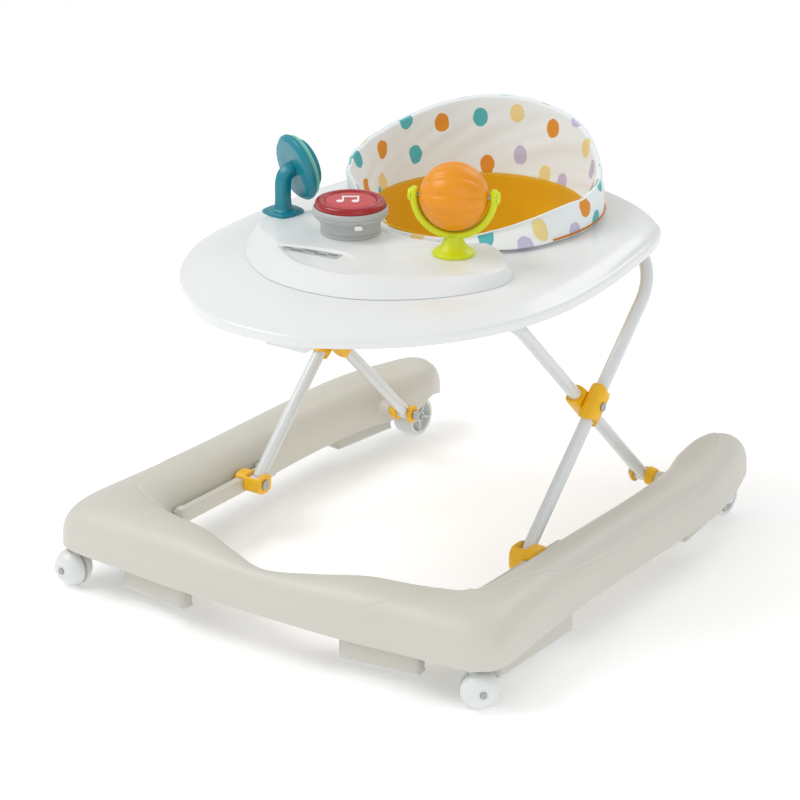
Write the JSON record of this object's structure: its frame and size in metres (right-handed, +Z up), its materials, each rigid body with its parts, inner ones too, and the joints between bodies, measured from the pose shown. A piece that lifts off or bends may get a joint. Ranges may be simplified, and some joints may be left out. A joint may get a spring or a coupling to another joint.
{
  "type": "baby walker",
  "caption": "Baby walker with a U-shaped wheeled base, a folding scissor frame, a play tray with toys and a sling seat.",
  "frame": {"origin": "centre of the footprint, on the floor", "axes": "-Y is the front of the walker, +X is the walker's left-right direction and +Z is up; x = 0 is the plane of symmetry"},
  "size_m": [0.6329, 0.71, 0.5381],
  "materials": {
    "base_grey": "satin moulded plastic",
    "yellow_plastic": "semi-gloss moulded plastic",
    "steel_pins": "zinc plated",
    "pad_rubber": "matte rubber",
    "wheel_white": "satin moulded plastic",
    "tube_paint": "gloss powder coat",
    "tray_white": "gloss moulded plastic",
    "seat_fabric": "printed woven cloth with padding",
    "pouch_fabric": "woven cloth",
    "teal_plastic": "gloss",
    "mint_plastic": "gloss",
    "music_grey": "satin",
    "button_red": "gloss",
    "switch_white": "gloss",
    "lime_plastic": "gloss",
    "orange_plastic": "gloss"
  },
  "bodies": {
    "base": {"base_shell": "base_grey", "rail_l": "base_grey", "rail_r": "base_grey", "pivot_bracket_l": "yellow_plastic", "pivot_bracket_r": "yellow_plastic", "pivot_pins": "steel_pins", "pad_bracket_fl": "base_grey", "pad_bracket_fr": "base_grey", "pad_bracket_ml": "base_grey", "pad_bracket_mr": "base_grey", "pad_bracket_rl": "base_grey", "pad_bracket_rr": "base_grey", "pad_strips_front": "pad_rubber", "pad_strips_mid": "pad_rubber", "pad_strips_rear": "pad_rubber", "pad_screws": "steel_pins", "rear_fork_l": "wheel_white", "rear_fork_r": "wheel_white", "rear_axles": "steel_pins", "castor_sockets": "base_grey"},
    "rear_wheel_l": {"rear_wheel_l": "wheel_white"},
    "rear_wheel_r": {"rear_wheel_r": "wheel_white"},
    "castor_l": {"castor_yoke_l": "wheel_white", "castor_axle_l": "steel_pins"},
    "castor_r": {"castor_yoke_r": "wheel_white", "castor_axle_r": "steel_pins"},
    "castor_ball_l": {"castor_wheel_l": "wheel_white"},
    "castor_ball_r": {"castor_wheel_r": "wheel_white"},
    "front_frame": {"front_frame": "tube_paint", "cross_block_inner_l": "yellow_plastic", "cross_block_inner_r": "yellow_plastic", "cross_pins": "steel_pins"},
    "rear_legs": {"rear_leg_l": "tube_paint", "rear_leg_r": "tube_paint", "cross_block_outer_l": "yellow_plastic", "cross_block_outer_r": "yellow_plastic"},
    "sliders": {"slider_l": "yellow_plastic", "slider_r": "yellow_plastic", "slider_pins": "steel_pins"},
    "tray": {"tray_top": "tray_white", "play_console": "tray_white", "adjuster_housing": "tray_white", "lever_pin": "steel_pins", "rear_saddles": "tray_white", "seat_ring": "tray_white", "seat_back": "seat_fabric", "seat_pouch": "pouch_fabric", "spinner_post": "teal_plastic", "spinner_axle": "steel_pins", "music_housing": "music_grey", "ball_bracket": "lime_plastic", "ball_axle": "steel_pins"},
    "release_lever": {"release_lever": "yellow_plastic"},
    "spinner": {"spinner_disc": "teal_plastic", "spinner_face": "mint_plastic"},
    "button": {"red_button": "button_red", "button_note": "switch_white"},
    "switch": {"mode_switch": "switch_white"},
    "ball": {"orange_ball": "orange_plastic"}
  },
  "joints": [
    {"name": "fold", "type": "hinge", "parent": "base", "child": "front_frame", "pos_m": [0, 0.214, 0.072], "axis": [1, 0, 0], "range_deg": [0, 30.52]},
    {"name": "cross_pivot", "type": "hinge", "parent": "front_frame", "child": "rear_legs", "pos_m": [0, 0.065, 0.217], "axis": [1, 0, 0], "range_deg": [-61.04, 0]},
    {"name": "slider_pivot", "type": "hinge", "parent": "rear_legs", "child": "sliders", "pos_m": [0, -0.084, 0.072], "axis": [1, 0, 0], "range_deg": [0, 30.52]},
    {"name": "tray_pivot", "type": "hinge", "parent": "rear_legs", "child": "tray", "pos_m": [0, 0.22833, 0.37595], "axis": [1, 0, 0], "range_deg": [0, 30.52]},
    {"name": "rear_roll_l", "type": "hinge", "parent": "base", "child": "rear_wheel_l", "pos_m": [-0.235, 0.31, 0.025], "axis": [1, 0, 0], "continuous": true},
    {"name": "rear_roll_r", "type": "hinge", "parent": "base", "child": "rear_wheel_r", "pos_m": [0.235, 0.31, 0.025], "axis": [1, 0, 0], "continuous": true},
    {"name": "castor_swivel_l", "type": "hinge", "parent": "base", "child": "castor_l", "pos_m": [-0.2855, -0.325, 0.02285], "axis": [0, 0, 1], "continuous": true},
    {"name": "castor_swivel_r", "type": "hinge", "parent": "base", "child": "castor_r", "pos_m": [0.2855, -0.325, 0.02285], "axis": [0, 0, 1], "continuous": true},
    {"name": "castor_roll_l", "type": "hinge", "parent": "castor_l", "child": "castor_ball_l", "pos_m": [-0.29346, -0.32416, 0.02285], "axis": [-0.1045, -0.9945, 0], "continuous": true},
    {"name": "castor_roll_r", "type": "hinge", "parent": "castor_r", "child": "castor_ball_r", "pos_m": [0.29085, -0.31905, 0.02285], "axis": [-0.7431, 0.6691, 0], "continuous": true},
    {"name": "lever_pull", "type": "hinge", "parent": "tray", "child": "release_lever", "pos_m": [0, -0.239, 0.35895], "axis": [1, 0, 0], "range_deg": [0, 12], "stiffness_Nm_per_rad": 0.6, "springref_deg": -8.59},
    {"name": "spinner_turn", "type": "hinge", "parent": "tray", "child": "spinner", "pos_m": [-0.16, -0.072, 0.47715], "axis": [0.399, 0.8878, 0.2294], "continuous": true},
    {"name": "button_press", "type": "slide", "parent": "tray", "child": "button", "axis": [0, 0, -1], "range_m": [0, 0.003], "stiffness_N_per_m": 600, "springref_m": -0.002},
    {"name": "switch_slide", "type": "slide", "parent": "tray", "child": "switch", "axis": [0.682, 0.7314, 0], "range_m": [-0.003, 0.003]},
    {"name": "ball_turn", "type": "hinge", "parent": "tray", "child": "ball", "pos_m": [0.092, -0.08, 0.49815], "axis": [0.8988, 0.4384, 0], "continuous": true}
  ],
  "couplings": [
    {"joint": "cross_pivot", "follows": "fold", "ratio": -2},
    {"joint": "slider_pivot", "follows": "fold", "ratio": 1},
    {"joint": "tray_pivot", "follows": "fold", "ratio": 1}
  ]
}
